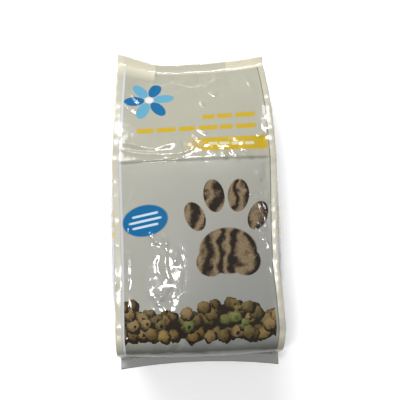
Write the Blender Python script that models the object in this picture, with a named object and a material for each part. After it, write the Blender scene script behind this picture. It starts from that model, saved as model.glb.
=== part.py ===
"""Filled and sealed side-gusset bag for 1 kg of dry pet food, lying on its back.

One laminated film web makes the whole bag: a front panel, a back panel and a folding side wall
(gusset) at each side. The four long edges are heat sealed into narrow fins that stand out
sideways. Both ends are pressed flat into a seal, where the side walls fold inwards. The body
holds kibble, the head above it is empty and slopes down to the top seal.

Frame: metres, +Z up, +Y towards the top seal, the origin under the middle of the bag's box.
"""
import math

import bmesh
import bpy

MM = 0.001

# ---- driving dimensions ----
PANEL_HALF = 68.5 * MM        # half of a panel, from its middle to a side seam
SEAM_FIN = 6.5 * MM           # how far a side seam stands out past the panel
FILM = 1.0 * MM               # thickness of a seam fin, thicker than real film so that it is a solid
END_SEAL = 1.6 * MM           # thickness of the flat end seals
BODY_LENGTH = 180 * MM        # from the front's lower edge to the fold line above the fill
TOP_SEAL_START = 286 * MM     # where the top seal begins, from the front's lower edge
TOP_SEAL_END = 299 * MM       # the bag's top edge
FOOT_SEAL_START = -6 * MM     # where the bottom seal begins
FOOT_SEAL_END = -16 * MM      # the bottom seal's free edge
MIDDLE = 36 * MM              # height of both end seals above the ground
CROWN = 74 * MM               # highest point of the front panel
FRONT_SEAM = 65 * MM          # height of the front side seams along the body
BACK_SEAM = 7 * MM            # height of the back side seams along the body
WALL_BULGE = 14 * MM          # how far the fill pushes a side wall out past the seam
GUSSET_FOLD = 29 * MM         # how far a side wall folds in next to an end seal
FLAT_SHARE = 0.72             # part of the back panel's half width that lies flat

PANEL_POINTS = 17             # points across a panel
WALL_POINTS = 7               # points up a side wall between its two seams

# ---- stations along the bag ----
# y, front middle, front seam, back middle, back seam, wall (+ out, - in), pull of the middle
# along Y, sealed. Heights are above the ground.
HALF_SEAL = END_SEAL / 2
STATIONS = (
    (FOOT_SEAL_END, MIDDLE + HALF_SEAL, MIDDLE + HALF_SEAL, MIDDLE - HALF_SEAL, MIDDLE - HALF_SEAL,
     0.0, 5.0 * MM, True),
    (FOOT_SEAL_START, MIDDLE + HALF_SEAL, MIDDLE + HALF_SEAL, MIDDLE - HALF_SEAL, MIDDLE - HALF_SEAL,
     0.0, 1.6 * MM, True),
    (-5.4 * MM, 38.8 * MM, 38.2 * MM, 32.6 * MM, 33.8 * MM, -1.0 * MM, 1.2 * MM, False),
    (-4.6 * MM, 43 * MM, 40 * MM, 27 * MM, 32 * MM, -GUSSET_FOLD, 0.8 * MM, False),
    (-2.8 * MM, 55 * MM, 48 * MM, 14 * MM, 24 * MM, -25 * MM, -0.6 * MM, False),
    (0.5 * MM, 63 * MM, 56.5 * MM, 5.5 * MM, 15.5 * MM, -19 * MM, -1.2 * MM, False),
    (6 * MM, 67.5 * MM, 61.5 * MM, 1.5 * MM, 10.5 * MM, -11 * MM, -1.5 * MM, False),
    (15 * MM, 70.5 * MM, 64 * MM, 0.0, 8 * MM, 0.0, -0.8 * MM, False),
    (30 * MM, 72.5 * MM, FRONT_SEAM, 0.0, BACK_SEAM, 9 * MM, 0.0, False),
    (55 * MM, 73.5 * MM, FRONT_SEAM, 0.0, BACK_SEAM, 13 * MM, 0.0, False),
    (90 * MM, CROWN, FRONT_SEAM, 0.0, BACK_SEAM, WALL_BULGE, 0.0, False),
    (130 * MM, CROWN, FRONT_SEAM, 0.0, BACK_SEAM, WALL_BULGE, 0.0, False),
    (160 * MM, 72 * MM, 65 * MM, 0.0, BACK_SEAM, 13 * MM, 0.0, False),
    (BODY_LENGTH, 68 * MM, 64 * MM, 0.0, 7.5 * MM, 10 * MM, 0.0, False),
    (200 * MM, 64 * MM, 62 * MM, 0.5 * MM, 9 * MM, 4 * MM, 0.0, False),
    (222 * MM, 58 * MM, 58.5 * MM, 3.5 * MM, 13 * MM, -6 * MM, -0.5 * MM, False),
    (245 * MM, 50 * MM, 53 * MM, 10 * MM, 19 * MM, -17 * MM, -1.5 * MM, False),
    (265 * MM, 42 * MM, 47 * MM, 18 * MM, 27 * MM, -25 * MM, -3.0 * MM, False),
    (279 * MM, 35.5 * MM, 42 * MM, 25.5 * MM, 34 * MM, -GUSSET_FOLD, -4.0 * MM, False),
    (TOP_SEAL_START, 32.5 * MM, 40.5 * MM, 29.5 * MM, 37.5 * MM, -GUSSET_FOLD, -4.5 * MM, False),
    (TOP_SEAL_START + 2 * MM, 32.2 * MM, 40.3 * MM, 29.7 * MM, 37.8 * MM, -1.0 * MM, -4.6 * MM, False),
    (TOP_SEAL_START + 4 * MM, 32 * MM, 39.8 * MM, 32 * MM - END_SEAL, 39.8 * MM - END_SEAL,
     0.0, -4.7 * MM, True),
    (TOP_SEAL_END, 33 * MM, 40.8 * MM, 33 * MM - END_SEAL, 40.8 * MM - END_SEAL,
     0.0, -5.0 * MM, True),
)
SMOOTH_FROM = 7               # between this station and SMOOTH_TO two stations are added per bay
SMOOTH_TO = 18


def between(before, low, high, after, share):
    """Catmull-Rom value between low and high, so that the added stations keep the curve."""
    return 0.5 * (
        2 * low
        + (high - before) * share
        + (2 * before - 5 * low + 4 * high - after) * share**2
        + (3 * low - before - 3 * high + after) * share**3
    )


def smooth_stations():
    """The stations, with two more in each long bay of the open bag."""
    rows = []
    for index, row in enumerate(STATIONS):
        rows.append(row)
        if not SMOOTH_FROM <= index < SMOOTH_TO:
            continue
        around = [STATIONS[index + step] for step in (-1, 0, 1, 2)]
        for share in (1 / 3, 2 / 3):
            values = [between(*(near[k] for near in around), share) for k in range(7)]
            values[3] = max(values[3], 0.0)
            rows.append((*values, False))
    return rows


def panel_height(x, middle, seam, flat):
    """Height of a panel at x: level over its flat share, then a smooth turn to the seam."""
    across = abs(x) / PANEL_HALF
    if flat:
        turn = max(0.0, (across - FLAT_SHARE) / (1 - FLAT_SHARE))
        return middle + (seam - middle) * turn**2 * (3 - 2 * turn) * 0.5 * (1 + turn)
    return middle + (seam - middle) * across**2.4


def section(row):
    """One closed ring of points round the bag, from the back panel's left end."""
    y, front_mid, front_seam, back_mid, back_seam, wall, pull, sealed = row
    steps = [2 * i / (PANEL_POINTS - 1) - 1 for i in range(PANEL_POINTS)]
    across = [PANEL_HALF * math.sin(step * math.pi / 2) * 0.35 + PANEL_HALF * step * 0.65 for step in steps]
    outer = PANEL_HALF + SEAM_FIN

    back = [(x, panel_height(x, back_mid, back_seam, True)) for x in across]
    front = [(x, panel_height(x, front_mid, front_seam, False)) for x in reversed(across)]
    half = WALL_POINTS // 2
    if sealed:
        right = [(outer, back_seam)] * (half + 3) + [(outer, front_seam)] * (half + 4)
    else:
        low = back_seam + FILM
        high = front_seam - FILM
        seam_middle = (back_seam + front_seam) / 2
        right = [(outer, back_seam), (outer, low), (PANEL_HALF, low)]
        for i in range(1, WALL_POINTS + 1):
            up = i / (WALL_POINTS + 1)
            bow = 1 - abs(2 * up - 1) ** (2.2 if wall > 0 else 1.15)
            x = PANEL_HALF + wall * bow
            inside = min(x, PANEL_HALF)
            front_here = panel_height(inside, front_mid, front_seam, False)
            back_here = panel_height(inside, back_mid, back_seam, True)
            sag = (front_here + back_here) / 2 - seam_middle
            right.append((x, low + (high - low) * up + (sag if wall < 0 else 0.0)))
        right += [(PANEL_HALF, high), (outer, high), (outer, front_seam)]
    left = [(-x, z) for x, z in reversed(right)]

    ring = back + right + front + left
    return [(x, y + pull * (1 - (x / outer) ** 2), z) for x, z in ring]


def end_cap(mesh, ring, flip):
    """Closes a sealed end with a strip between its back and front edges."""
    count = len(ring)
    side = WALL_POINTS + 6
    back = [ring[i] for i in range(PANEL_POINTS)]
    front = [ring[PANEL_POINTS + side + PANEL_POINTS - 1 - i] for i in range(PANEL_POINTS)]
    low = [ring[count - 1]] + back + [ring[PANEL_POINTS]]
    high = [ring[count - side]] + front + [ring[PANEL_POINTS + side - 1]]
    for i in range(len(low) - 1):
        face = [low[i], low[i + 1], high[i + 1], high[i]]
        mesh.faces.new(reversed(face) if flip else face)


def bag_mesh():
    """The bag as one closed mesh."""
    mesh = bmesh.new()
    rings = [[mesh.verts.new(point) for point in section(row)] for row in smooth_stations()]
    count = len(rings[0])
    for low, high in zip(rings, rings[1:]):
        for i in range(count):
            j = (i + 1) % count
            mesh.faces.new((low[i], low[j], high[j], high[i]))
    end_cap(mesh, rings[0], True)
    end_cap(mesh, rings[-1], False)
    bmesh.ops.remove_doubles(mesh, verts=mesh.verts, dist=0.01 * MM)
    bmesh.ops.recalc_face_normals(mesh, faces=mesh.faces)
    low_corner = [min(vert.co[axis] for vert in mesh.verts) for axis in range(3)]
    high_corner = [max(vert.co[axis] for vert in mesh.verts) for axis in range(3)]
    for vert in mesh.verts:
        vert.co.x -= (low_corner[0] + high_corner[0]) / 2
        vert.co.y -= (low_corner[1] + high_corner[1]) / 2
        vert.co.z -= low_corner[2]
    data = bpy.data.meshes.new("bag")
    mesh.to_mesh(data)
    mesh.free()
    return data


def film_material():
    """Glossy white laminated film."""
    material = bpy.data.materials.new("laminated_film")
    material.use_nodes = True
    shader = material.node_tree.nodes["Principled BSDF"]
    shader.inputs["Base Color"].default_value = (0.56, 0.56, 0.53, 1.0)
    shader.inputs["Roughness"].default_value = 0.28
    shader.inputs["Metallic"].default_value = 0.0
    return material


for thing in list(bpy.data.objects):
    bpy.data.objects.remove(thing, do_unlink=True)

bag_data = bag_mesh()
bag_data.materials.append(film_material())
bag_data.shade_smooth()
bag_data.set_sharp_from_angle(angle=math.radians(40))
bag = bpy.data.objects.new("bag", bag_data)
bpy.context.scene.collection.objects.link(bag)
print("bag", len(bag_data.vertices), "points", len(bag_data.polygons), "faces")
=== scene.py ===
# %% [markdown]
# # A filled side-gusset bag
#
# The object is a bag for 1 kg of dry pet food, lying on its back. One web of printed, laminated
# film makes all of it. A machine folds the web into a tube with a gusset at each side, seals the
# four long edges into fins, fills the tube with kibble and presses both ends flat.
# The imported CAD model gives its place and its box. This script models the film's look: first
# the web as a smooth tube, then how it settles, creases and crumples, then its print and light.

# %% Frame
import math

import bmesh
import bpy
import numpy as np
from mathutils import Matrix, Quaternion, Vector, noise


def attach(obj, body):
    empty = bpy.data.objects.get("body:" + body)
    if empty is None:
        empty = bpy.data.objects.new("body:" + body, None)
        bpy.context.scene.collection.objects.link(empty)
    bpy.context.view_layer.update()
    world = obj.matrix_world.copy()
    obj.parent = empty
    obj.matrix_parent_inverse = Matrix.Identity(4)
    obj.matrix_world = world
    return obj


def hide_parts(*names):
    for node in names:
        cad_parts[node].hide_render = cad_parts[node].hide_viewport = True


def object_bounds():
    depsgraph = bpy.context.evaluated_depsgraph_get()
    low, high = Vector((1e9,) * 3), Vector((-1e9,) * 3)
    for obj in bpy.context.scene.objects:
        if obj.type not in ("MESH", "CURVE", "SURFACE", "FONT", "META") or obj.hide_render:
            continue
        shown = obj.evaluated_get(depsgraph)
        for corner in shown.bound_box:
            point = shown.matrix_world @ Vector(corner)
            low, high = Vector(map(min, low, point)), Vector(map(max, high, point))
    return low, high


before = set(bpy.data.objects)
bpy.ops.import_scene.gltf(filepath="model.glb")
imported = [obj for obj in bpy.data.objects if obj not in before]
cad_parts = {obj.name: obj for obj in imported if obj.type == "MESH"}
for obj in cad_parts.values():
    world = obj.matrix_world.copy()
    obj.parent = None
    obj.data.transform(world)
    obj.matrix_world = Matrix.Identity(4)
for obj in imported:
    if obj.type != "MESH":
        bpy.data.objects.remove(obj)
cad_low, cad_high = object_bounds()
MM = 0.001
print("bag box in mm:", [round((b - a) / MM, 1) for a, b in zip(cad_low, cad_high)])

# %% [markdown]
# ## Where things are along the bag
#
# A maker measures a bag from its lower front edge. The foot seal reaches past that edge, so the
# edge lies that far inside the box. All heights are above the ground.

# %% Driving sizes
FOOT_FIN = 16 * MM            # the foot seal's reach past the front's lower edge
EDGE_Y = cad_low[1] + FOOT_FIN
LENGTH = cad_high[1] - cad_low[1] - FOOT_FIN
PANEL_HALF = 68.5 * MM
SEAM_FIN = 6.5 * MM
OUTER = PANEL_HALF + SEAM_FIN
FIN_FILM = 0.5 * MM           # two layers of film and the seal between them
WALL_WEB = 66 * MM            # a side wall's width on the flat web
print("length from lower edge to top edge:", round(LENGTH / MM, 1), "mm")

# %% [markdown]
# ## The camera
#
# The view is from above the bag's foot end, about half a metre away, as someone sees a bag
# that lies on a table in front of them.

# %% Camera
CAMERA_AZIMUTH = math.radians(-2.3)
CAMERA_ELEVATION = math.radians(81.4)
CAMERA_ROLL = math.radians(0.4)
CAMERA_DISTANCE = 0.470
LOOK_AT = Vector((5.2 * MM, -1.3 * MM, 66 * MM))
LENS = 45                     # mm
SENSOR = 36                   # mm

camera = bpy.data.objects.new("camera", bpy.data.cameras.new("camera"))
bpy.context.scene.collection.objects.link(camera)
camera.data.lens = LENS
camera.data.sensor_width = SENSOR
backward = Vector((
    math.sin(CAMERA_AZIMUTH) * math.cos(CAMERA_ELEVATION),
    -math.cos(CAMERA_AZIMUTH) * math.cos(CAMERA_ELEVATION),
    math.sin(CAMERA_ELEVATION),
))
camera.location = LOOK_AT + backward * CAMERA_DISTANCE
level = backward.to_track_quat("Z", "Y")
camera.rotation_euler = (level @ Quaternion((0, 0, 1), CAMERA_ROLL)).to_euler()
bpy.context.scene.camera = camera
print("camera at", [round(value, 3) for value in camera.location])

# %% [markdown]
# ## The bag's section, station by station
#
# The bag is a lofted shell: at each station along its length one closed ring of points runs
# round the back panel, the side seams, the side walls and the front panel. Kibble pushes the
# walls out along the body. Towards each end seal the walls fold inwards, as gussets do, and the
# panels come together. A smooth curve through a few stations gives every ring between them.

# %% Stations
# y from the lower front edge, front middle, front seam, back middle, back seam,
# wall (+ out, - in), pull of the middle along Y; all in mm
STATIONS = np.array((
    (-16.0, 36.5, 36.5, 35.5, 35.5, 0.0, 5.0),
    (-6.0, 36.5, 36.5, 35.5, 35.5, 0.0, 1.6),
    (-5.4, 38.8, 38.2, 32.6, 33.8, -1.0, 1.2),
    (-4.6, 43.0, 40.0, 27.0, 32.0, -29.0, 0.8),
    (-2.8, 55.0, 48.0, 14.0, 24.0, -25.0, -0.6),
    (0.5, 61.5, 58.5, 5.5, 14.0, -19.0, -1.2),
    (6.0, 66.5, 62.5, 1.5, 10.0, -11.0, -1.5),
    (15.0, 69.8, 64.4, 0.0, 8.0, 0.0, -0.8),
    (30.0, 72.3, 65.0, 0.0, 7.0, 9.0, 0.0),
    (55.0, 73.5, 65.0, 0.0, 7.0, 13.0, 0.0),
    (90.0, 74.0, 65.0, 0.0, 7.0, 14.0, 0.0),
    (130.0, 74.0, 65.0, 0.0, 7.0, 14.0, 0.0),
    (160.0, 73.5, 65.5, 0.0, 7.0, 13.0, 0.0),
    (178.0, 71.9, 65.6, 0.0, 7.5, 10.0, 0.0),
    (181.0, 71.5, 65.5, 0.0, 7.6, 9.5, 0.0),
    (185.0, 70.4, 65.0, 0.0, 7.9, 8.5, 0.0),
    (200.0, 66.0, 62.8, 0.5, 9.0, 4.0, 0.0),
    (222.0, 58.5, 58.5, 3.5, 13.0, -6.0, -0.5),
    (245.0, 50.0, 53.0, 10.0, 19.0, -17.0, -1.5),
    (265.0, 42.0, 47.0, 18.0, 27.0, -25.0, -3.0),
    (279.0, 35.6, 42.0, 25.5, 34.0, -29.0, -4.0),
    (286.0, 32.5, 40.0, 29.7, 37.5, -29.0, -4.5),
    (288.0, 31.5, 39.1, 29.9, 37.6, -1.0, -4.6),
    (290.0, 31.4, 39.0, 30.5, 38.1, 0.0, -4.7),
    (299.0, 32.4, 40.0, 31.5, 39.1, 0.0, -5.0),
)) * MM


def station_share(row):
    """How far a row is along the bag's own run of stations, spaced by film length."""
    steps = np.hypot(np.diff(row[:, 0]), np.diff(row[:, 2]))
    return np.concatenate(([0.0], np.cumsum(steps)))


station_run = station_share(STATIONS)
RUN_LENGTH = station_run[-1]
print("film length from seal to seal:", round(RUN_LENGTH / MM, 1), "mm")


def smooth_row(run):
    """Monotone cubic value of every station column at a distance along the run."""
    slopes = np.diff(STATIONS, axis=0) / np.diff(station_run)[:, None]
    tangents = np.zeros_like(STATIONS)
    tangents[0] = slopes[0]
    tangents[-1] = slopes[-1]
    same_way = slopes[:-1] * slopes[1:] > 0
    mean = 2 * slopes[:-1] * slopes[1:] / np.where(same_way, slopes[:-1] + slopes[1:], 1)
    tangents[1:-1] = np.where(same_way, mean, 0)
    index = np.clip(np.searchsorted(station_run, run, side="right") - 1, 0, len(STATIONS) - 2)
    width = (station_run[index + 1] - station_run[index])[:, None]
    part = ((run - station_run[index])[:, None]) / width
    low, high = STATIONS[index], STATIONS[index + 1]
    rise = part**2 * (3 - 2 * part)
    return (
        low + (high - low) * rise
        + width * tangents[index] * (part**3 - 2 * part**2 + part)
        + width * tangents[index + 1] * (part**3 - part**2)
    )


# %% [markdown]
# ## The film web as a grid
#
# Each strip of the web has its own number of points: the front panel, which shows most, the
# most. Every point keeps its place on the unrolled web, because print, creases and the bake
# map are all laid out on flat film.

# %% Ring of points
FRONT_STEPS = 66
BACK_STEPS = 38
WALL_STEPS = 14
RUN_STEPS = 156
FLAT_SHARE = 0.72             # part of the back panel's half width that lies flat
FRONT_CROWN = 2.4             # power of the front's curve: a larger one is flatter in the middle
WALL_OUT = 2.2                # power of a wall's curve where the fill pushes it out
WALL_IN = 1.15                # and where it folds in, nearly a sharp V


def front_height(x, row):
    """Height of the front panel at x."""
    across = np.abs(x) / PANEL_HALF
    return row[:, 1] + (row[:, 2] - row[:, 1]) * across**FRONT_CROWN


def back_height(x, row):
    """Height of the back panel at x: level over its flat share, then a turn up to the seam."""
    bend = np.clip((np.abs(x) / PANEL_HALF - FLAT_SHARE) / (1 - FLAT_SHARE), 0, 1)
    return row[:, 3] + (row[:, 4] - row[:, 3]) * bend**2 * (3 - 2 * bend) * 0.5 * (1 + bend)


def ring_strips(row):
    """The ring as (strip name, x, z, web position) columns, from the back panel's left end."""
    full = np.ones(len(row))
    strips = []
    for x in np.linspace(-PANEL_HALF, PANEL_HALF, BACK_STEPS + 1):
        strips.append(("back", full * x, back_height(full * x, row), x))
    low = row[:, 4] + FIN_FILM
    high = row[:, 2] - FIN_FILM
    thin = (row[:, 2] - row[:, 4]) < 4 * FIN_FILM
    low = np.where(thin, row[:, 4] + (row[:, 2] - row[:, 4]) / 3, low)
    high = np.where(thin, row[:, 4] + (row[:, 2] - row[:, 4]) * 2 / 3, high)
    wall = row[:, 5]
    closing = np.clip(1 + wall / (2 * MM), 0, 1) * thin

    def side():
        """The right side's points, from the back seam's fin up the wall to the front seam's fin."""
        points = [("fin", PANEL_HALF + SEAM_FIN * 0.5 * full, row[:, 4], 0.5 * SEAM_FIN)]
        points.append(("fin", OUTER * full, row[:, 4], SEAM_FIN))
        points.append(("fin", OUTER * full, low, SEAM_FIN))
        points.append(("fin", PANEL_HALF + SEAM_FIN * (0.5 + 0.5 * closing), low, 1.5 * SEAM_FIN))
        for up in np.linspace(0, 1, WALL_STEPS + 1):
            off_middle = np.abs(2 * up - 1)
            bow = np.where(wall > 0, 1 - off_middle**WALL_OUT, 1 - off_middle**WALL_IN)
            x = PANEL_HALF + wall * bow + SEAM_FIN * closing
            inside = np.minimum(x, PANEL_HALF)
            sag = (front_height(inside, row) + back_height(inside, row)) / 2
            sag = np.where((wall < 0) & (closing < 1), sag - (row[:, 2] + row[:, 4]) / 2, 0)
            points.append(("wall", x, low + (high - low) * up + sag, 2 * SEAM_FIN + WALL_WEB * up))
        after = 2 * SEAM_FIN + WALL_WEB
        root = PANEL_HALF + SEAM_FIN * (0.5 + 0.5 * closing)
        points.append(("fin", root, high, after + 0.5 * SEAM_FIN))
        points.append(("fin", OUTER * full, high, after + SEAM_FIN))
        points.append(("fin", OUTER * full, row[:, 2], after + SEAM_FIN))
        points.append(("fin", PANEL_HALF + SEAM_FIN * 0.5 * full, row[:, 2], after + 1.5 * SEAM_FIN))
        return points

    side_web = 4 * SEAM_FIN + WALL_WEB
    for name, x, z, web in side():
        strips.append((name, x, z, PANEL_HALF + web))
    front_start = PANEL_HALF + side_web
    for x in np.linspace(PANEL_HALF, -PANEL_HALF, FRONT_STEPS + 1):
        strips.append(("front", full * x, front_height(full * x, row), front_start + PANEL_HALF - x))
    for name, x, z, web in reversed(side()):
        strips.append((name, -x, z, front_start + 2 * PANEL_HALF + side_web - web))
    return strips


run = np.linspace(0, RUN_LENGTH, RUN_STEPS + 1)
rows = smooth_row(run)
strips = ring_strips(rows)
RING = len(strips)
web_across = np.array([strip[3] for strip in strips])
strip_name = np.array([strip[0] for strip in strips])
grid = np.zeros((len(run), RING, 3))
for column, (name, x, z, web) in enumerate(strips):
    grid[:, column, 0] = x
    grid[:, column, 1] = EDGE_Y + rows[:, 0] + rows[:, 6] * (1 - (x / OUTER) ** 2)
    grid[:, column, 2] = z
print("web grid:", grid.shape)

# %% [markdown]
# ## Edges out of true
#
# A bag that was filled and handled isn't square. Its top edge dips, most of all where the left
# gusset's inner fold ends, and the fill and the folded head push its front seams outwards.

# %% Edges out of true
DIP_LENGTH = 60 * MM          # how far below the top edge the dip begins
DIP_AT = (-75, -56, -38, -30, 0, 38, 75)
TOP_DIP = (1.5, -2.0, -5.2, -5.8, -4.2, -4.2, -6.5)
near_top = np.clip((run - RUN_LENGTH + DIP_LENGTH) / DIP_LENGTH, 0, 1) ** 1.5
top_dip = np.interp(grid[:, :, 0] / MM, DIP_AT, TOP_DIP)
grid[:, :, 1] += top_dip * near_top[:, None] * MM
# mm that each front seam goes outwards at places along the bag
WANDER_AT = (-5, 5, 20, 45, 75, 110, 180, 230, 280, 299)
RIGHT_WANDER = (0, 2.5, 4.5, 3.5, 1.5, 2.0, 4.5, 4.0, 1.0, -1.5)
LEFT_WANDER = (0, 0.5, 0.8, 0.6, 0.8, 1.2, 2.6, 1.4, 0.5, 0.5)
right_wander = np.interp(rows[:, 0] / MM, WANDER_AT, RIGHT_WANDER)[:, None]
left_wander = np.interp(rows[:, 0] / MM, WANDER_AT, LEFT_WANDER)[:, None]
thickness = np.maximum(rows[:, 2] - rows[:, 4], MM)[:, None]
upper = np.clip((grid[:, :, 2] - rows[:, 4:5]) / thickness, 0, 1) ** 1.5
to_right = np.clip(grid[:, :, 0] / PANEL_HALF, 0, 1) ** 2
to_left = np.clip(-grid[:, :, 0] / PANEL_HALF, 0, 1) ** 2
grid[:, :, 0] += (right_wander * to_right - left_wander * to_left) * upper * MM
print("top edge dips by up to", -min(TOP_DIP), "mm, seams wander by up to", max(RIGHT_WANDER), "mm")

# %% Film mesh
WEB_WIDTH = 2 * (2 * PANEL_HALF + WALL_WEB + 4 * SEAM_FIN)
FRONT_MIDDLE = web_across[list(strip_name).index("front")] + PANEL_HALF
EDGE_RUN = station_run[6]     # film length from the foot seal's edge to the front's lower edge


def film_mesh():
    """The open tube of film, with the print map and the bake map on the flat web."""
    mesh = bmesh.new()
    points = [[mesh.verts.new(point) for point in ring] for ring in grid]
    print_map = mesh.loops.layers.uv.new("print")
    bake_map = mesh.loops.layers.uv.new("OFBake")
    for i in range(len(points) - 1):
        for j in range(RING):
            k = (j + 1) % RING
            face = mesh.faces.new((points[i][j], points[i + 1][j], points[i + 1][k], points[i][k]))
            far = web_across[k] if k else WEB_WIDTH - PANEL_HALF
            across = (web_across[j], web_across[j], far, far)
            along = (run[i], run[i + 1], run[i + 1], run[i])
            for loop, u, v in zip(face.loops, across, along):
                loop[print_map].uv = (FRONT_MIDDLE - u, v - EDGE_RUN)
                loop[bake_map].uv = ((u + PANEL_HALF) / WEB_WIDTH, v / RUN_LENGTH)
            face.smooth = True
    data = bpy.data.meshes.new("bag_film")
    mesh.to_mesh(data)
    mesh.free()
    return data


film = bpy.data.objects.new("bag_film", film_mesh())
bpy.context.scene.collection.objects.link(film)
print("film tube:", len(film.data.vertices), "points")


# %% Mesh helpers
def apply_modifiers(obj):
    """Bakes an object's modifiers into its mesh."""
    evaluated = obj.evaluated_get(bpy.context.evaluated_depsgraph_get())
    data = bpy.data.meshes.new_from_object(evaluated)
    obj.modifiers.clear()
    obj.data = data


def point_array(obj, kind="co"):
    """Places or normals of an object's points as rows."""
    flat = np.zeros(len(obj.data.vertices) * 3)
    if kind == "co":
        obj.data.vertices.foreach_get("co", flat)
    else:
        obj.data.vertex_normals.foreach_get("vector", flat)
    return flat.reshape(-1, 3)


# %% [markdown]
# ## The film settles
#
# The film is a little larger than the smooth loft, as it is on a real bag, so it has to buckle
# somewhere. A short cloth simulation finds where: the seals, the seams and the flat of the
# back are held, air pressure holds the rest out, and the film grows by about one percent.
# How far a point may move is capped, so the bag keeps its size.

# %% Cloth simulation
SETTLE_FRAMES = 14
MOVE_CAP = 3.0 * MM


def settle(obj):
    """Runs the cloth simulation and keeps its capped result as the mesh."""
    start = point_array(obj)
    held = obj.vertex_groups.new(name="held")
    flat = grid.reshape(-1, 3)
    fin = np.tile(strip_name == "fin", len(run))
    seal = np.repeat((run < EDGE_RUN - 4 * MM) | (run > RUN_LENGTH - 14 * MM), RING)
    rest = flat[:, 2] < 1.5 * MM
    for index in np.nonzero(fin | seal | rest)[0]:
        held.add([int(index)], 1.0 if seal[index] or rest[index] else 0.85, "REPLACE")
    cloth = obj.modifiers.new("settle", "CLOTH")
    cloth.settings.quality = 5
    cloth.settings.mass = 0.02
    cloth.settings.tension_stiffness = 30
    cloth.settings.compression_stiffness = 30
    cloth.settings.shear_stiffness = 15
    cloth.settings.bending_stiffness = 2.0
    cloth.settings.vertex_group_mass = "held"
    cloth.settings.use_pressure = True
    cloth.settings.uniform_pressure_force = 1.0
    cloth.settings.shrink_min = -0.012
    cloth.settings.effector_weights.gravity = 0
    cloth.collision_settings.use_collision = False
    cloth.point_cache.frame_start = 1
    cloth.point_cache.frame_end = SETTLE_FRAMES
    for frame_number in range(1, SETTLE_FRAMES + 1):
        bpy.context.scene.frame_set(frame_number)
    apply_modifiers(obj)
    bpy.context.scene.frame_set(1)
    moved = point_array(obj) - start
    far = np.linalg.norm(moved, axis=1, keepdims=True)
    most, usual = float(far.max()) / MM, float(far.mean()) / MM
    print("film settled by up to", round(most, 1), "mm, mean", round(usual, 2))
    moved *= np.minimum(1, MOVE_CAP / np.maximum(far, 1e-9))
    obj.data.vertices.foreach_set("co", (start + moved).ravel())
    obj.vertex_groups.clear()
    obj.data.update()


settle(film)

# %% One finer step, then the ends are closed
finer = film.modifiers.new("finer", "SUBSURF")
finer.levels = 1
finer.render_levels = 1
apply_modifiers(film)


def close_ends(obj):
    """Closes each sealed end across the film's thickness."""
    mesh = bmesh.new()
    mesh.from_mesh(obj.data)
    bmesh.ops.remove_doubles(mesh, verts=mesh.verts, dist=0.04 * MM)
    open_edges = [edge for edge in mesh.edges if edge.is_boundary]
    made = bmesh.ops.holes_fill(mesh, edges=open_edges, sides=0)
    bmesh.ops.triangulate(mesh, faces=made["faces"])
    bmesh.ops.recalc_face_normals(mesh, faces=mesh.faces)
    mesh.to_mesh(obj.data)
    mesh.free()


close_ends(film)
triangles = sum(len(face.vertices) - 2 for face in film.data.polygons)
print("film:", len(film.data.vertices), "points,", triangles, "triangles")

# %% [markdown]
# ## Creases
#
# Film doesn't stretch. Where a bag bends two ways at once the film buckles, and every buckle
# leaves a sharp, shiny crease. Each crease here is a curve on the flat web that pushes the film
# along its normal. A crumpled patch is many small flat facets, each tilted its own way, as in
# a crushed sweet wrapper.

# %% Web position of every point
def web_positions(obj):
    """Each point's place on the flat web in mm: across from the front's middle, and along."""
    loops = obj.data.loops
    corner = np.zeros(len(loops), int)
    loops.foreach_get("vertex_index", corner)
    spot = np.zeros(len(loops) * 2)
    obj.data.uv_layers["print"].data.foreach_get("uv", spot)
    place = np.zeros((len(obj.data.vertices), 2))
    place[corner] = spot.reshape(-1, 2)
    return place / MM


web = web_positions(film)
across, along = web[:, 0], web[:, 1]
SEAM = PANEL_HALF / MM
WALL_START = SEAM + 2 * SEAM_FIN / MM
WALL_END = WALL_START + WALL_WEB / MM
WALL_FOLD = (WALL_START + WALL_END) / 2
on_front = np.abs(across) < SEAM
on_wall = (np.abs(across) > WALL_START) & (np.abs(across) < WALL_END)
print("points on the front panel:", int(on_front.sum()))


# %% Crease tools
def smooth_curve(points, steps=8):
    """More points on a smooth curve through a few."""
    given = np.array(points, float)
    ends = np.vstack((2 * given[0] - given[1], given, 2 * given[-1] - given[-2]))
    curve = []
    for i in range(len(given) - 1):
        a, b, c, d = ends[i:i + 4]
        for t in np.linspace(0, 1, steps, endpoint=False):
            bend = (2 * a - 5 * b + 4 * c - d) * t**2 + (3 * b - a - 3 * c + d) * t**3
            curve.append(0.5 * (2 * b + (c - a) * t + bend))
    curve.append(given[-1])
    return np.array(curve)


def beside(points):
    """Each web point's distance to a curve, its side of it and its share along it."""
    curve = smooth_curve(points)
    spots = np.stack((across, along), axis=1)
    best = np.full(len(spots), 1e9)
    signed = np.zeros(len(spots))
    share = np.zeros(len(spots))
    for i in range(len(curve) - 1):
        start, step = curve[i], curve[i + 1] - curve[i]
        part = np.clip(((spots - start) @ step) / (step @ step), 0, 1)
        away = spots - start - part[:, None] * step
        far = np.hypot(away[:, 0], away[:, 1])
        nearer = far < best
        best = np.where(nearer, far, best)
        hand = np.sign(step[0] * away[:, 1] - step[1] * away[:, 0])
        signed = np.where(nearer, hand * far, signed)
        share = np.where(nearer, (i + part) / (len(curve) - 1), share)
    return best, signed, share


def crease(points, height, width, ends=0.25):
    """A sharp ridge, height mm high, that dies out towards its ends."""
    best, signed, share = beside(points)
    fade = np.clip(np.minimum(share, 1 - share) / ends, 0, 1) ** 0.7
    return height * fade * np.exp(-np.abs(best / width) ** 1.3)


def fold_step(points, lip, lip_width, drop, drop_width):
    """A step: a lip on the curve's left side, a drop on its right side."""
    best, signed, share = beside(points)
    left = lip * np.exp(-best / lip_width)
    right = -drop * np.exp(-best / drop_width)
    blend = 0.5 + 0.5 * np.tanh(signed / 0.45)
    return left * blend + right * (1 - blend)


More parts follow.
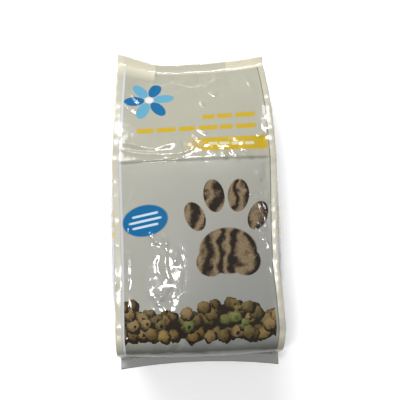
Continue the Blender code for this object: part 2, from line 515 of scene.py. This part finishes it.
def patch(middle, size, turn=0.0):
    """A soft oval mask on the web, 1 in its middle."""
    cosine, sine = math.cos(math.radians(turn)), math.sin(math.radians(turn))
    x, y = across - middle[0], along - middle[1]
    wide = (x * cosine + y * sine) / size[0]
    tall = (-x * sine + y * cosine) / size[1]
    return np.clip(1.4 - np.hypot(wide, tall), 0, 1) ** 1.5


def facets(size, seed, stretch=1.0):
    """Flat facets about size mm wide, each tilted its own way."""
    out = np.zeros(len(across))
    wanted = on_front | on_wall | (np.abs(across) <= WALL_START)
    for i in np.nonzero(wanted)[0]:
        spot = Vector((across[i] / size, along[i] / (size * stretch), seed))
        distances, cells = noise.voronoi(spot)
        tilt = noise.cell_vector(cells[0] * 7.31)
        border = min(1.0, (distances[1] - distances[0]) * 4)
        out[i] = ((spot - cells[0]) @ tilt) * border
    return out


# %% [markdown]
# ## The fold and the bows above it
#
# The head was turned down over the full body and then let go. That left a step straight across
# the front, with the film above it standing over the film below, and long bow-shaped buckles
# between the step and the left seam. Both catch a lamp along their whole length.

# %% The fold
push = np.zeros(len(across))
FOLD_LINE = ((-80, 172.0), (-30, 172.2), (10, 172.4), (80, 174.2))
UPPER_BOW = ((-71, 194), (-56, 190.5), (-41, 185), (-30, 186), (-16, 192))
LOWER_BOW = ((-70, 189), (-58, 183), (-42, 179.5), (-22, 178.5), (-8, 180), (0, 185), (-2, 193))
push += fold_step(FOLD_LINE, 1.1, 6.0, 0.7, 5.0)
push += crease(UPPER_BOW, 1.1, 3.2, ends=0.15)
push += crease(LOWER_BOW, 1.1, 2.8, ends=0.1)
push += crease(((-66, 187), (-52, 184.5), (-34, 182)), -0.9, 2.4)
print("the fold and its bows stand up to", round(float(push.max()), 2), "mm up")

# %% [markdown]
# ## Short buckles
#
# Where the front bends down to a seam, and where fingers held the bag, the film has short, sharp
# buckles. Each is given by its two ends on the web and its height, all in mm.

# %% Short buckles
BUCKLE_WIDTH = 1.5
BUCKLES = (
    # beside and across the fold, right of the middle
    ((27, 181), (30, 171), 1.4), ((31, 183), (36, 172), -1.0), ((44, 184), (54, 172), 1.4),
    ((14, 182), (20, 178), 0.8), ((38, 178), (42, 170), 0.8), ((60, 194), (66, 200), 1.0),
    ((0, 200), (6, 192), 1.0), ((4, 206), (14, 199), 0.9),
    # beside the right seam
    ((63, 168), (66, 150), -0.7), ((56, 160), (61, 150), 1.2), ((45, 143), (50, 136), 0.9),
    ((65, 142), (67, 128), 1.3), ((66, 122), (67, 106), -1.1), ((66, 70), (67, 40), 0.7),
    ((66, 30), (65, 10), 0.9),
    # beside the left seam
    ((-63, 130), (-62.5, 104), 0.9), ((-62.5, 90), (-62, 52), 1.2), ((-62.5, 50), (-63.5, 12), 1.1),
    ((-65.5, 12), (-65, 2), 0.9),
    # in the head
    ((8, 240), (12, 232), 1.1), ((17, 252), (24, 245), 1.0), ((26, 252), (30, 244), -0.8),
    ((-60, 250), (-52, 238), 1.0), ((-66, 240), (-54, 226), 0.8),
)
for start, end, height in BUCKLES:
    push += crease((start, end), height, BUCKLE_WIDTH)
print("short buckles:", len(BUCKLES))

# %% [markdown]
# ## A crushed place
#
# Left of the middle of the body the film was pressed in by hand. It sprang back as a cluster of
# bent creases that meet at sharp angles, with small flat faces between them.

# %% Crushed place
CRUSHED_WIDTH = 1.9
CRUSHED_HEIGHT = 0.75
CRUSHED = (
    (((-44, 104), (-38, 99), (-34, 92)), 0.9), (((-31, 104), (-27, 96), (-29, 88)), 1.0),
    (((-26, 92), (-28, 76), (-24, 58)), 1.0), (((-33, 84), (-35, 72), (-31, 62)), -0.8),
    (((-39, 52), (-32, 46), (-36, 41), (-26, 34)), 1.3), (((-22, 54), (-26, 46), (-22, 34)), -0.9),
    (((-17, 90), (-20, 74)), 0.7), (((-45, 56), (-40, 44)), 0.8),
    (((-38, 36), (-31, 33), (-26, 36)), 1.0), (((-43, 100), (-40, 104), (-36, 103)), 1.0),
    (((-31, 102), (-27, 97), (-26, 91)), 0.9), (((-41, 92), (-35, 92), (-28, 87)), -0.8),
)
for curve, height in CRUSHED:
    push += crease(curve, CRUSHED_HEIGHT * height, CRUSHED_WIDTH)
print("creases in the crushed place:", len(CRUSHED))

# %% [markdown]
# ## The head
#
# The head is empty. The inner edges of the folded gussets show through it as soft ridges, and
# the film sags between them in long, shallow folds that run down from the seal.

# %% Folds of the head
# curve, height, width, share of its length over which each end dies out
HEAD_FOLDS = (
    (((-37, 300), (-37, 280)), 1.1, 1.0, 0.1),
    (((-37, 282), (-39, 262), (-43, 246)), 1.2, 3.5, 0.5),
    (((37, 282), (40, 266), (46, 250)), -1.4, 4.0, 0.5),
    (((4, 283), (12, 268), (30, 252)), -1.6, 4.5, 0.5),
    (((-22, 282), (-14, 268), (-12, 252)), -1.0, 4.0, 0.5),
    (((52, 282), (58, 262), (62, 240)), 1.2, 3.5, 0.5),
    (((22, 282), (26, 272), (36, 262)), 1.2, 2.6, 0.4),
)
for curve, height, width, ends in HEAD_FOLDS:
    push += crease(curve, height, width, ends)
print("creases push the film from", round(push.min(), 2), "to", round(push.max(), 2), "mm")

# %% [markdown]
# ## Crumpled film
#
# All the film is a little crumpled, the side walls more, and some patches much more: the crushed
# place, the fold, the head below its seal, the strips beside the seams and the lower edge. Large
# facets give the shapes and small ones break their glints up. The gussets' middle folds were
# pushed out flat by the fill, but their lines stay.

# %% Crumpled patches
# middle, half size, turn in degrees, share of the full crumple
PATCHES = (
    ((-29, 68), (17, 44), -8, 0.5), ((14, 183), (62, 13), 0, 0.9), ((0, 268), (72, 20), 0, 0.9),
    ((63, 128), (9, 50), 0, 1.0), ((-62, 110), (10, 100), 0, 0.5), ((0, 3), (80, 12), 0, 0.9),
    ((0, -16), (80, 16), 0, 0.6),
)
EVERYWHERE = 0.1
ON_WALLS = 0.3
crumple = EVERYWHERE + ON_WALLS * on_wall
for middle, half, turn, share in PATCHES:
    crumple = crumple + patch(middle, half, turn) * share
crumple = np.clip(crumple, 0, 1)
for u in (WALL_FOLD, -WALL_FOLD):
    push += crease(((u, -10), (u, 285)), 0.9, 1.3, ends=0.02)
push += crumple * (1.25 * facets(16, 3.7, 1.4) + 0.35 * facets(7, 9.1))
# seams and seals are stiff, so the film beside them moves less
seam_fade = np.clip((SEAM + 1 - np.abs(across)) / 5, 0, 1)
wall_fade = np.clip(np.minimum(np.abs(across) - WALL_START, WALL_END - np.abs(across)) / 6, 0, 1)
hold = np.where(on_front, 0.15 + 0.85 * seam_fade, np.where(on_wall, wall_fade, 0))
seal_hold = np.clip((along + 12) / 10, 0, 1) * np.clip((290 - along) / 6, 0.12, 1)
points = point_array(film)
normals = point_array(film, "normal")
points += normals * (push * hold * seal_hold * MM)[:, None]
print("crumpled patches:", len(PATCHES))

# %% [markdown]
# ## Wavy seams
#
# The fins were stretched less than the body when the bag was filled, so their free edges buckle
# in waves of about 8 and 36 mm. The right seam also stands up a little, which leaves a groove
# between it and the panel.

# %% Wavy seams
WAVE = 1.2 * MM
RIGHT_RISE = 1.4 * MM
side_reach = np.clip((np.abs(points[:, 0]) - PANEL_HALF) / SEAM_FIN, 0, 1) * (~on_wall)
slow = np.array([noise.noise(Vector((x * 18, y * 28, 4.2))) for x, y, z in points])
fast = np.array([noise.noise(Vector((x * 20, y * 130, 8.5))) for x, y, z in points])
waves = side_reach * (slow + 0.6 * fast) * WAVE
points[:, 2] += waves
rise = np.clip((along - 4) / 20, 0, 1) * seal_hold * RIGHT_RISE
points[:, 2] += side_reach * (points[:, 0] > 0) * rise
points[:, 2] = np.maximum(points[:, 2], 0.02 * MM)
film.data.vertices.foreach_set("co", points.ravel())
film.data.update()
print("fins wave by up to", round(float(np.abs(waves).max()) / MM, 1), "mm")

# %% [markdown]
# ## Film
#
# The web is a laminate: glossy polyester outside, with the print on its inner face, and white
# polyethylene inside. Light shines off the smooth outer face as off glass, and the white layer
# under it gives the body colour. Where film is sealed to film with nothing behind it, the fins,
# it looks creamier.

# %% Node helper
def srgb(code):
    """A hex colour as linear red, green, blue and alpha."""
    parts = [int(code[i:i + 2], 16) / 255 for i in (1, 3, 5)]
    return [c / 12.92 if c <= 0.04045 else ((c + 0.055) / 1.055) ** 2.4 for c in parts] + [1.0]


def add(tree, kind, inputs=(), **settings):
    """One node with its settings; an input takes a value or another node's output."""
    made = tree.nodes.new(kind)
    for name, value in settings.items():
        setattr(made, name, value)
    for key, value in dict(inputs).items():
        if isinstance(value, bpy.types.NodeSocket):
            tree.links.new(value, made.inputs[key])
        else:
            made.inputs[key].default_value = value
    return made


# %% Inks
PEARL_LIGHT = srgb("#b0afa3")  # pearl ink where it lies thin
PEARL_DARK = srgb("#a19f93")   # pearl ink where it lies thick
PAINTED_SHADE_GREY = srgb("#8b8b87")    # painted shade towards the foot and the right
HEAD_GREY = srgb("#92907f")    # warm grey of the head
PAINTED_EDGE_SHADE = srgb("#55554e")    # painted shade where the lower edge rolls under
WALL_GREY = srgb("#a9acb2")    # cooler grey of the side walls
CREAM = srgb("#c8c3ae")        # film sealed to film, clear of ink
HEAD_SEAL = srgb("#b5b2a2")    # pressed film of the head seal
FOOT_SEAL = srgb("#a9a9a9")    # pressed film of the foot seal
FOOT_RIB = srgb("#a3a29b")     # ribs that the sealing jaw leaves in it
GROOVE_SHADE = srgb("#6f6d63")       # painted shade of the groove beside the right seam
SEAM_WHITE = srgb("#b8bac0")   # the pale line beside the left seam
OCHRE = srgb("#b0941a")
DASH_CREAM = srgb("#bcbaa0")
BLUE = srgb("#005c8c")
PALE_BLUE = srgb("#5592ac")
ICE_BLUE = srgb("#b4c6d4")
FLOWER_WHITE = srgb("#c9cbc8")
print("inks are ready; cream is", [round(part, 3) for part in CREAM[:3]], "in linear light")

# %% Film material
# laminated polyester film: a sharp, glassy shine over the matt print below it
FILM_ROUGHNESS = 0.1
SEAL_ROUGHNESS = 0.22         # heat and pressure leave a seal a little rougher
FILM_IOR = 1.6                # polyester

film_material = bpy.data.materials.new("laminated_polyester_film")
film_material.use_nodes = True
tree = film_material.node_tree
film_shader = tree.nodes["Principled BSDF"]
film_shader.inputs["Roughness"].default_value = FILM_ROUGHNESS
film_shader.inputs["IOR"].default_value = FILM_IOR

web_map = add(tree, "ShaderNodeUVMap", uv_map="print")
web_mm = add(tree, "ShaderNodeVectorMath", {0: web_map.outputs[0], 3: 1 / MM}, operation="SCALE").outputs[0]
split = add(tree, "ShaderNodeSeparateXYZ", {0: web_mm})
web_u = split.outputs[0]      # mm across from the front's middle
web_v = split.outputs[1]      # mm along from the front's lower edge
from_middle = add(tree, "ShaderNodeMath", {0: web_u}, operation="ABSOLUTE").outputs[0]
print("film material:", film_material.name)

# %% [markdown]
# ## Printing on the web
#
# A press lays one ink over another, each through its own plate. Here every plate is a mask on
# the web, 1 inside a shape and 0 outside, and ink() lays a colour over what is printed so far.
# All sizes are in real mm of film, so the print bends with every crease.

# %% Print tools
def ramp(value, start, end, low=0.0, high=1.0):
    """Goes from low to high while value goes from start to end."""
    return add(tree, "ShaderNodeMapRange", {0: value, 1: start, 2: end, 3: low, 4: high}).outputs[0]


def both(first, second, how="MULTIPLY"):
    """Two masks multiplied, added or subtracted, and kept between 0 and 1."""
    return add(tree, "ShaderNodeMath", {0: first, 1: second}, operation=how, use_clamp=True).outputs[0]


def outside(mask):
    """The opposite of a mask."""
    return both(1.0, mask, "SUBTRACT")


def below(first, second):
    """1 where the first value is the smaller one."""
    return add(tree, "ShaderNodeMath", {0: first, 1: second}, operation="LESS_THAN").outputs[0]


def step_up(value, start, width=0.3):
    """A mask that goes from 0 to 1 where a value passes start."""
    return ramp(value, start, start + width)


def within(value, low, high, width=0.3):
    """A mask that is 1 between two values."""
    return both(step_up(value, low, width), step_up(value, high, width), "SUBTRACT")


def vector(how, first, second):
    """A sum, difference or product of two vectors."""
    return add(tree, "ShaderNodeVectorMath", {0: first, 1: second}, operation=how).outputs[0]


def scaled(place, factor):
    """A vector times a number."""
    return add(tree, "ShaderNodeVectorMath", {0: place, 3: factor}, operation="SCALE").outputs[0]


def length(place):
    """A vector's length."""
    return add(tree, "ShaderNodeVectorMath", {0: place}, operation="LENGTH").outputs["Value"]


def local_place(middle, half, turn):
    """Place on the web measured in a shape's own half sizes, from its middle."""
    sockets = {0: web_mm, 1: (*middle, 0), 2: (0, 0, math.radians(turn)), 3: (*half, 1)}
    local = add(tree, "ShaderNodeMapping", sockets, vector_type="TEXTURE")
    return vector("MULTIPLY", local.outputs[0], (1, 1, 0))


def oval(middle, half, turn=0.0, soft=0.04):
    """An oval, turned by some degrees, with a slightly soft edge."""
    return ramp(length(local_place(middle, half, turn)), 1 - soft, 1 + soft, 1.0, 0.0)


def bar(middle, half, turn=0.0, soft=0.06):
    """A bar with small round corners: an oval of the eighth power."""
    flat = local_place(middle, half, turn)
    square = vector("MULTIPLY", flat, flat)
    fourth = vector("MULTIPLY", square, square)
    return ramp(length(fourth), 1 - 4 * soft, 1 + 4 * soft, 1.0, 0.0)


def ink(under, colour, mask):
    """Lays a colour over what is printed so far."""
    return add(tree, "ShaderNodeMix", {"Factor": mask, 6: under, 7: colour}, data_type="RGBA").outputs[2]


# %% [markdown]
# ## Pearl ground, fins and seals
#
# The ground is a pearl ink that lies unevenly, so it is a little cloudy, and warmer in the head.
# A grey laid over it towards the foot and to the right is painted shade, and a dark grey round
# the lower edge is painted shade where the film rolls under. The fins and both end seals are
# clear of it: there the film is pressed together and shows its own colour, creamy at the head's
# corners, where the folded gussets make it four layers thick.

# %% Pearl ground
CLOUD = 60                    # mm from one cloud of the pearl ink to the next
FOLD = 172                    # mm along the film to the fold between body and head

cloud = add(tree, "ShaderNodeTexNoise", {"Vector": web_mm, "Scale": 1 / CLOUD, "Detail": 2.0})
pearl = ink(PEARL_DARK, PEARL_LIGHT, cloud.outputs[0])
# painted shade: grey laid on towards the foot, more to the right, where less light falls; the same grey
# starts with a step just under the fold
shade_to_foot = ramp(web_v, FOLD, -10.0)
to_right = ramp(web_u, -60.0, 20.0, 0.3, 1.0)
under_fold = ramp(web_v, FOLD + 0.2, FOLD + 0.8, 0.3, 0.0)
pearl = ink(pearl, PAINTED_SHADE_GREY, both(both(shade_to_foot, to_right), under_fold, "ADD"))
pearl = ink(pearl, HEAD_GREY, ramp(web_v, FOLD + 0.5, FOLD + 1, 0.0, 0.55))
# painted shade: dark grey on the lower edge, where the film rolls under the bag, fading out again on the
# foot panel
edge_shade = ramp(web_v, 9.0, -2.0, 0.0, 0.75)
edge_shade_fade = ramp(web_v, -5.0, -18.0, 1.0, 0.2)
pearl = ink(pearl, PAINTED_EDGE_SHADE, both(edge_shade, edge_shade_fade))
print("pearl ground from", CLOUD, "mm clouds")

# %% Fins and seals
GUSSET_EDGE = 37              # mm from the middle to a folded gusset's inner edge
RIB_PITCH = 1.8               # mm between ribs of the foot's sealing jaw

on_fin = within(from_middle, SEAM + 0.2, WALL_START)
printed = ink(pearl, CREAM, both(on_fin, ramp(web_v, 150.0, 195.0, 0.6, 0.3)))
# painted shade: a dark line in the groove beside the right seam
printed = ink(printed, GROOVE_SHADE, within(web_u, SEAM - 0.3, SEAM + 0.6))
printed = ink(printed, SEAM_WHITE, within(web_u, -SEAM - 0.2, -SEAM + 2.0, 0.5))
head_seal = step_up(web_v, 283.5, 1.0)
printed = ink(printed, HEAD_SEAL, head_seal)
printed = ink(printed, CREAM, both(head_seal, step_up(from_middle, GUSSET_EDGE - 0.5, 0.5)))
left_of_gusset = outside(step_up(web_u, -GUSSET_EDGE - 1.0, 1.0))
printed = ink(printed, CREAM, both(step_up(web_v, 271.0, 14.0), left_of_gusset))
foot_seal = outside(step_up(web_v, -30.0, 1.0))
printed = ink(printed, FOOT_SEAL, foot_seal)
ribs = add(tree, "ShaderNodeMath", {0: web_v, 1: RIB_PITCH / 2}, operation="PINGPONG").outputs[0]
printed = ink(printed, FOOT_RIB, both(foot_seal, step_up(ribs, 0.45, 0.4)))
printed = ink(printed, WALL_GREY, within(from_middle, WALL_START, WALL_END))
print("fins, head seal and foot seal are clear of ink")

# %% [markdown]
# ## Print in flat colours
#
# Spot colours on a bag are flat fields with crisp edges. There is no lettering: rows of plain
# bars stand where lines of words would be, a flower fills the upper left corner, and a blue oval
# carries three pale bars. The ochre band fades out to the left, as a printed gradient does.

# %% Ochre band and bars
SLANT = 1.5                   # degrees that the band leans by
BAND = (38, 188.6)
BAND_HALF = (46, 7.0)
DASH_V = 188.4
DASHES = ((19, 4.2), (29.5, 4.6), (41, 5.2), (52, 4.0))
UPPER_BARS = ((16, 219.2, 6), (31, 219.8, 7), (50, 220.4, 9))
LOWER_BARS = (
    (-45, 204.6, 8), (-25, 205.2, 9), (-5, 205.8, 8), (15, 206.4, 9), (32, 206.9, 6), (50, 207.4, 9),
)

band = both(bar(BAND, BAND_HALF, SLANT, 0.02), ramp(web_u, -10.0, 14.0))
band = both(band, outside(step_up(web_u, SEAM - 1.0)))
printed = ink(printed, OCHRE, band)
for u, half in DASHES:
    printed = ink(printed, DASH_CREAM, bar((u, DASH_V), (half, 1.6), SLANT))
for u, v, half in UPPER_BARS + LOWER_BARS:
    printed = ink(printed, OCHRE, bar((u, v), (half, 2.6), SLANT + 0.2))
print("ochre bars:", len(UPPER_BARS + LOWER_BARS), "and pale dashes:", len(DASHES))

# %% Flower
FLOWER = (-42, 242)
PETALS = 6
PETAL_HALF = (10.0, 5.6)
PETAL_REACH = 14.5            # mm from the flower's middle to a petal's middle
FLOWER_TURN = 8

for petal in range(PETALS):
    turn = 360 / PETALS * petal + FLOWER_TURN
    angle = math.radians(turn)
    middle = (FLOWER[0] + PETAL_REACH * math.cos(angle), FLOWER[1] + PETAL_REACH * math.sin(angle))
    printed = ink(printed, BLUE if petal % 2 else PALE_BLUE, oval(middle, PETAL_HALF, turn))
printed = ink(printed, FLOWER_WHITE, oval(FLOWER, (4.2, 4.2)))
print("flower with", PETALS, "petals")

# %% Blue oval
BADGE = (-45.5, 116)
BADGE_HALF = (21, 14.5)
BADGE_TURN = 10
BADGE_BARS = ((121.3, 12.0), (116, 15.0), (110.7, 12.0))

printed = ink(printed, BLUE, oval(BADGE, BADGE_HALF, BADGE_TURN))
for v, half in BADGE_BARS:
    printed = ink(printed, ICE_BLUE, bar((BADGE[0], v), (half, 1.1), BADGE_TURN))
print("blue oval with", len(BADGE_BARS), "bars")

# %% [markdown]
# ## Paw print
#
# A large paw print fills the right of the body: four toes and a pad, banded in browns like short
# fur. A wave bent by coarse noise gives the bands, and fine noise over them gives the hair. One
# colour ramp from dark to light brown does the rest, as in a three-colour print.

# %% Paw print
FUR_BEND = 34.0               # mm that the bands wander by
FUR_DARK = srgb("#1f1810")
FUR_MIDDLE = srgb("#5a4a36")
FUR_LIGHT = srgb("#8c7a5e")
# u, v, half width, half height, turn in degrees; the pad is the first three
PAW = (
    (29, 86, 26, 21, 0), (13, 76, 13, 13, 0), (45, 76, 13, 13, 0),
    (0, 118, 9, 14, 22), (18, 137, 9.5, 15.5, 7), (40, 137, 9.5, 15.5, -7), (57, 118, 8.5, 14, -22),
)

fur_noise = add(tree, "ShaderNodeTexNoise", {"Vector": web_mm, "Scale": 1 / 22, "Detail": 3.0})
fur_place = vector("ADD", web_mm, scaled(fur_noise.outputs["Color"], FUR_BEND))
fur_wave = {"Vector": fur_place, "Scale": 1 / 42, "Distortion": 3.0, "Detail": 3.0, "Detail Scale": 2.0}
fur_band = add(tree, "ShaderNodeTexWave", fur_wave)
fur_hair = add(tree, "ShaderNodeTexNoise", {"Vector": web_mm, "Scale": 0.9, "Detail": 4.0})
fur = add(tree, "ShaderNodeValToRGB", {0: both(fur_band.outputs["Fac"], fur_hair.outputs[0])})
fur.color_ramp.elements[0].color = FUR_DARK
fur.color_ramp.elements[0].position = 0.08
fur.color_ramp.elements[1].color = FUR_LIGHT
fur.color_ramp.elements[1].position = 0.62
fur.color_ramp.elements.new(0.28).color = FUR_MIDDLE
paw = 0.0
for u, v, wide, tall, turn in PAW:
    paw = both(paw, oval((u, v), (wide, tall), turn, 0.03), "MAXIMUM")
printed = ink(printed, fur.outputs[0], paw)
print("paw print from", len(PAW), "ovals")

# %% [markdown]
# ## Drift of kibble
#
# Rounded pieces in browns with a few green ones lie in a wavy drift across the foot, four layers
# over each other. Each layer is a cell pattern pushed about by lumpy noise, so no two pieces are
# alike. A piece is printed whole or not at all, because the drift's edge is tested at the middle
# of its cell. Lower layers are darker, which gives the heap depth.

# %% Kibble pieces
KIBBLE = 12.0                 # mm from one piece's middle to the next
LUMP = 4.2                    # mm that a piece's outline is pushed about
DRIFT_WAVE = 16               # mm of the drift's wave for one radian
DRIFT_RISE = 6.0              # mm that it goes up and down by
DRIFT_TOP = 36.0              # mm from the lower edge to its middle line
DRIFT_FOOT = 9.5              # no piece's middle lies lower than this
GAP_BROWN = srgb("#211a0f")
KIBBLE_LIT = srgb("#a9935f")
KIBBLE_BROWNS = ((0.2, "#8f7540"), (0.4, "#64522c"), (0.6, "#86704a"), (0.76, "#584b2a"))
KIBBLE_FIRST = srgb("#7d6233")
KIBBLE_GREEN = srgb("#5d6a38")
# shift in mm, share of the pieces that are there, shade laid over them
LAYERS = (((0, 0), 1.0, 0.5), ((5.7, 3.1), 0.95, 0.3), ((2.4, 7.9), 0.6, 0.18), ((9.3, 1.6), 0.3, 0.14))

lump = add(tree, "ShaderNodeTexNoise", {"Vector": web_mm, "Scale": 1 / 5, "Detail": 1.0})
lump = scaled(vector("SUBTRACT", lump.outputs["Color"], (0.5, 0.5, 0.5)), LUMP)
lumpy = vector("ADD", web_mm, lump)
kibble_grain = add(tree, "ShaderNodeTexNoise", {"Vector": web_mm, "Scale": 0.5, "Detail": 3.0})
pitted = ramp(kibble_grain.outputs[0], 0.45, 0.75, 0.0, 0.45)
inside_seams = outside(step_up(from_middle, SEAM - 2.2))


def drift_top(u):
    """Height of the drift's wavy top over a place across the panel."""
    angle = add(tree, "ShaderNodeMath", {0: u, 1: 1 / DRIFT_WAVE}, operation="MULTIPLY").outputs[0]
    wave = add(tree, "ShaderNodeMath", {0: angle}, operation="SINE").outputs[0]
    sockets = {0: wave, 1: DRIFT_RISE, 2: DRIFT_TOP}
    return add(tree, "ShaderNodeMath", sockets, operation="MULTIPLY_ADD").outputs[0]


def kibble_colour(tone):
    """One brown or green for each piece, from the random tone of its cell."""
    colours = add(tree, "ShaderNodeValToRGB", {0: tone})
    colours.color_ramp.interpolation = "CONSTANT"
    colours.color_ramp.elements[0].color = KIBBLE_FIRST
    colours.color_ramp.elements[1].color = KIBBLE_GREEN
    colours.color_ramp.elements[1].position = 0.88
    for start, code in KIBBLE_BROWNS:
        colours.color_ramp.elements.new(start).color = srgb(code)
    return colours.outputs[0]


# %% Kibble layers
def kibble_layer(printed, shift, share, shade):
    """One layer of pieces over the print so far; share is how many of its pieces are there."""
    place = vector("ADD", lumpy, (*shift, 0))
    sockets = {"Vector": place, "Scale": 1 / KIBBLE, "Randomness": 0.6}
    cells = add(tree, "ShaderNodeTexVoronoi", sockets, voronoi_dimensions="2D")
    far = cells.outputs["Distance"]
    tone = add(tree, "ShaderNodeSeparateXYZ", {0: cells.outputs["Color"]})
    # a rounded piece gets darker towards its rim, and more so on its lower right side
    from_centre = vector("SUBTRACT", place, cells.outputs["Position"])
    facing = {0: from_centre, 1: (0.06, -0.1, 0)}
    lower_right = add(tree, "ShaderNodeVectorMath", facing, operation="DOT_PRODUCT").outputs["Value"]
    rim = ramp(far, 0.25, 0.52, 0.0, 0.85)
    dark = both(both(rim, pitted, "ADD"), lower_right, "ADD")
    piece = ink(kibble_colour(tone.outputs[0]), KIBBLE_LIT, both(lower_right, -0.6))
    piece = ink(piece, GAP_BROWN, both(dark, shade, "ADD"))
    # about half of the pieces have a hole through their middle
    hole = both(below(far, 0.13), step_up(tone.outputs[1], 0.45, 0.01))
    piece = ink(piece, GAP_BROWN, hole)
    centre = vector("SUBTRACT", cells.outputs["Position"], (*shift, 0))
    centre = add(tree, "ShaderNodeSeparateXYZ", {0: centre})
    under_top = below(centre.outputs[1], drift_top(centre.outputs[0]))
    in_drift = both(under_top, below(DRIFT_FOOT, centre.outputs[1]))
    there = both(in_drift, below(tone.outputs[2], share))
    disc = both(there, below(far, 0.54))
    return ink(printed, piece, both(disc, inside_seams))


top_line = add(tree, "ShaderNodeMath", {0: drift_top(web_u), 1: 4.0}, operation="SUBTRACT").outputs[0]
behind = both(below(web_v, top_line), below(DRIFT_FOOT, web_v))
printed = ink(printed, GAP_BROWN, both(behind, inside_seams))
for shift, share, shade in LAYERS:
    printed = kibble_layer(printed, shift, share, shade)
print("kibble in", len(LAYERS), "layers, a piece every", KIBBLE, "mm")

# %% [markdown]
# ## Side walls
#
# A few short ochre stripes on each side wall stand for the small print that such a bag has
# there. They lie flat on the wall, across the gusset's middle fold.

# %% Side walls
STRIPE_PITCH = 10.0           # mm from one stripe to the next
stripes = both(within(from_middle, WALL_START + 8, WALL_END - 8), within(web_v, 100, 128))
lines = add(tree, "ShaderNodeMath", {0: web_v, 1: STRIPE_PITCH / 2}, operation="PINGPONG").outputs[0]
printed = ink(printed, OCHRE, both(stripes, step_up(lines, 2.4)))
tree.links.new(printed, film_shader.inputs["Base Color"])
print("stripes every", STRIPE_PITCH, "mm on the side walls")

# %% [markdown]
# ## Shine and ripple
#
# The open film is almost as smooth as glass, and the sealed fins are a little rougher. Film that
# was wound on a roll is never quite flat: shallow ripples a few mm apart bend the reflections.
# They are far too shallow to show as shape, so they are bump. Every real crease is geometry.

# %% Shine and ripple
RIPPLE = 7                    # mm from one ripple to the next
RIPPLE_DEPTH = 1.2 * MM
RIPPLE_STRENGTH = 0.06

tree.links.new(ramp(on_fin, 0.0, 1.0, FILM_ROUGHNESS, SEAL_ROUGHNESS), film_shader.inputs["Roughness"])
ripple = add(tree, "ShaderNodeTexNoise", {"Vector": web_mm, "Scale": 1 / RIPPLE, "Detail": 2.0})
sockets = {"Height": ripple.outputs[0], "Strength": RIPPLE_STRENGTH, "Distance": RIPPLE_DEPTH}
tree.links.new(add(tree, "ShaderNodeBump", sockets).outputs[0], film_shader.inputs["Normal"])

film.data.materials.clear()
film.data.materials.append(film_material)
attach(film, "root")
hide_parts("bag")
print("film material has", len(tree.nodes), "nodes")

# %% [markdown]
# ## Floor and light
#
# The bag lies on pale paper that is lit from all round, so its shadow is soft. One window gives
# the broad light, low and from the upper left. Three small lamps overhead give the hard, bright
# glints: one shines in the crushed place on the body, one along the fold where the head turns
# down, and a weak one at the right for the nicks beside the seam. The room is darker on the
# viewer's side, so film that tilts towards the viewer reflects less and looks greyer.

# %% Floor
FLOOR_HALF = 3.0              # metres
PAPER_WHITE = (0.9, 0.9, 0.9, 1)
LIT_WHITE = (1, 1, 1, 1)
PAPER_ROUGHNESS = 0.9
PAPER_GLOW = 0.3              # stands for light that comes through and round the paper

floor_mesh = bpy.data.meshes.new("floor")
corners = [(x * FLOOR_HALF, y * FLOOR_HALF, 0) for x, y in ((-1, -1), (1, -1), (1, 1), (-1, 1))]
floor_mesh.from_pydata(corners, [], [(0, 1, 2, 3)])
floor = bpy.data.objects.new("floor", floor_mesh)
bpy.context.scene.collection.objects.link(floor)
# matt white paper: an even, bright ground with a soft shadow
paper = bpy.data.materials.new("pale_paper")
paper.use_nodes = True
paper_shader = paper.node_tree.nodes["Principled BSDF"]
paper_shader.inputs["Base Color"].default_value = PAPER_WHITE
paper_shader.inputs["Roughness"].default_value = PAPER_ROUGHNESS
paper_shader.inputs["Emission Color"].default_value = LIT_WHITE
paper_shader.inputs["Emission Strength"].default_value = PAPER_GLOW
floor_mesh.materials.append(paper)
print("floor:", 2 * FLOOR_HALF, "m square")

# %% Room and lamps
ROOM_DARK = 0.12              # strength towards the viewer
ROOM_LIGHT = 0.4              # strength towards the far side
# name, place in metres, width and height in metres, watts, what it points at
LAMPS = (
    ("soft_window", (-0.75, 0.95, 0.75), (0.7, 0.7), 10.5, (0, 0.05, 0)),
    ("tube_over_body", (-0.26, -0.12, 1.05), (0.08, 0.28), 4.0, (0, 0, 0)),
    ("tube_over_head", (-0.05, 0.78, 0.92), (0.5, 0.05), 7.0, (0, 0, 0)),
    ("tube_at_the_right", (0.92, 0.08, 1.05), (0.02, 0.16), 0.5, (0, 0, 0)),
)


def area_light(name, place, size, power, aim):
    """A rectangular lamp that points at a place."""
    light = bpy.data.lights.new(name, "AREA")
    light.shape = "RECTANGLE"
    light.size, light.size_y = size
    light.energy = power
    lamp = bpy.data.objects.new(name, light)
    lamp.location = place
    lamp.rotation_euler = (Vector(aim) - Vector(place)).to_track_quat("-Z", "Y").to_euler()
    bpy.context.scene.collection.objects.link(lamp)


world = bpy.data.worlds.new("studio")
bpy.context.scene.world = world
world.use_nodes = True
room = world.node_tree
direction = add(room, "ShaderNodeTexCoord")
toward = add(room, "ShaderNodeSeparateXYZ", {0: direction.outputs["Generated"]})
sockets = {0: toward.outputs[1], 1: -0.8, 2: 0.6, 3: ROOM_DARK, 4: ROOM_LIGHT}
strength = add(room, "ShaderNodeMapRange", sockets)
room.links.new(strength.outputs[0], room.nodes["Background"].inputs["Strength"])
room.nodes["Background"].inputs["Color"].default_value = LIT_WHITE
for lamp in LAMPS:
    area_light(*lamp)
bpy.context.scene.view_settings.view_transform = "Standard"
print("lamps:", [lamp[0] for lamp in LAMPS])
